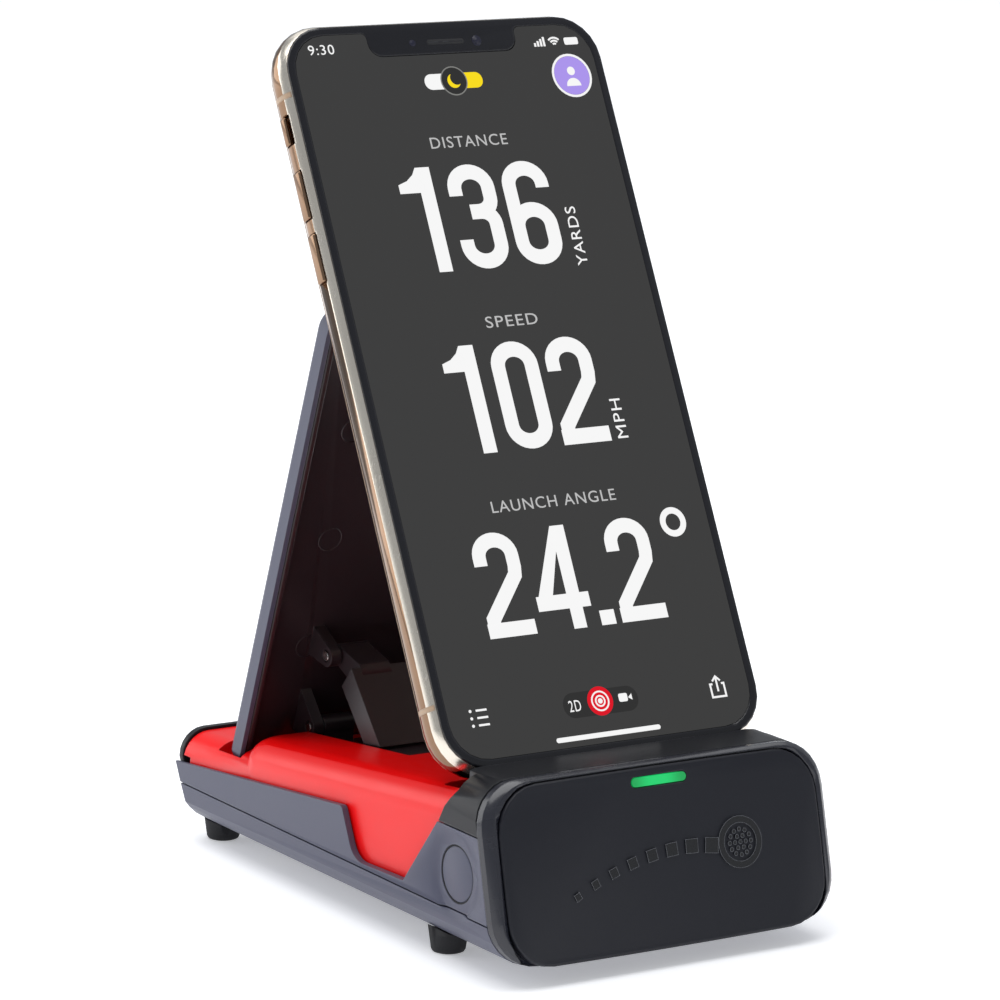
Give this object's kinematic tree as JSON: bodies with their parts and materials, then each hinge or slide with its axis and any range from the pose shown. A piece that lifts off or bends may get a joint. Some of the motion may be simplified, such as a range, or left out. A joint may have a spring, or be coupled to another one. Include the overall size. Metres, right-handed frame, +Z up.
{
  "type": "launch monitor",
  "caption": "Desktop golf launch monitor: wedge-shaped radar base with a red deck, a lid that folds out as a prop-braced backrest, and a smartphone in its cradle showing shot data.",
  "frame": {"origin": "on the surface the feet stand on, under the middle of the object's box", "axes": "+X to the right seen from the front plate, +Y from the front plate towards the rear, +Z up"},
  "size_m": [0.081, 0.1333, 0.1766],
  "materials": {
    "casing": "satin dark violet grey, fine spark texture",
    "cap": "satin black",
    "face": "matt black, fine texture",
    "trim": "polished black",
    "deck": "polished red",
    "bracket": "satin black",
    "rubber": "matt",
    "lens": "frosted, lit green",
    "pins": "polished steel",
    "screws": "zinc plated",
    "board": "green solder mask",
    "cell": "foil pouch",
    "shield": "tinned sheet",
    "handset_band": "polished pale gold steel",
    "handset_glass": "black glass, polished",
    "handset_back": "gold glass, polished",
    "handset_screen": "lit display",
    "handset_core": "milled"
  },
  "bodies": {
    "base": {"bottom_tray": "casing", "mid_frame": "casing", "front_cap": "cap", "deck": "deck", "hinge_bracket": "bracket", "rear_window": "cap", "bezel_ring": "trim", "front_plate": "face", "status_lens": "lens", "led_board": "board", "power_switch": "shield", "main_board": "board", "battery": "cell", "battery_foam": "rubber", "usb_socket": "shield", "radar_antenna": "board", "radar_shield": "shield", "foot_front_left": "rubber", "foot_front_right": "rubber", "foot_rear_left": "rubber", "foot_rear_right": "rubber", "case_screw_front_left": "screws", "case_screw_front_right": "screws", "case_screw_rear_left": "screws", "case_screw_rear_right": "screws", "cradle_pad": "rubber"},
    "button": {"power_button": "casing"},
    "lid": {"lid_cover": "casing", "lid_panel": "bracket", "lid_bumper_left": "rubber", "lid_bumper_right": "rubber", "hinge_pin_left": "pins", "hinge_pin_right": "pins", "prop_pin_left": "pins", "prop_pin_right": "pins"},
    "prop": {"prop": "bracket"},
    "handset": {"handset_band": "handset_band", "handset_back": "handset_back", "handset_glass": "handset_glass", "handset_screen": "handset_screen", "handset_core": "handset_core", "handset_camera": "handset_glass"},
    "volume_up": {"volume_up": "handset_band"},
    "volume_down": {"volume_down": "handset_band"},
    "mute_switch": {"mute_switch": "handset_band"},
    "side_key": {"side_key": "handset_band"}
  },
  "joints": [
    {"name": "lid_fold", "type": "hinge", "parent": "base", "child": "lid", "pos_m": [0, 0.03875, 0.0278], "axis": [1, 0, 0], "range_deg": [0, 64.9]},
    {"name": "prop_fold", "type": "hinge", "parent": "lid", "child": "prop", "pos_m": [0, 0.0318, 0.04465], "axis": [1, 0, 0], "range_deg": [-117.95, 0]},
    {"name": "handset_lift", "type": "slide", "parent": "base", "child": "handset", "axis": [0, 0, 1], "range_m": [0, 0.25]},
    {"name": "button_press", "type": "slide", "parent": "base", "child": "button", "axis": [1, 0, 0], "range_m": [0, 0.0008], "stiffness_N_per_m": 600, "springref_m": -0.0004},
    {"name": "volume_up_press", "type": "slide", "parent": "handset", "child": "volume_up", "axis": [1, 0, 0], "range_m": [0, 0.0003], "stiffness_N_per_m": 800, "springref_m": -0.0003},
    {"name": "volume_down_press", "type": "slide", "parent": "handset", "child": "volume_down", "axis": [1, 0, 0], "range_m": [0, 0.0003], "stiffness_N_per_m": 800, "springref_m": -0.0003},
    {"name": "side_key_press", "type": "slide", "parent": "handset", "child": "side_key", "axis": [-1, 0, 0], "range_m": [0, 0.0003], "stiffness_N_per_m": 800, "springref_m": -0.0003},
    {"name": "mute_throw", "type": "slide", "parent": "handset", "child": "mute_switch", "axis": [0, -0.8914, 0.4532], "range_m": [0, 0.001]}
  ],
  "couplings": [
    {"joint": "prop_fold", "follows": "lid_fold", "ratio": -1.8166},
    {"joint": "handset_lift", "follows": "lid_fold", "m_per_rad": 0.2207}
  ]
}
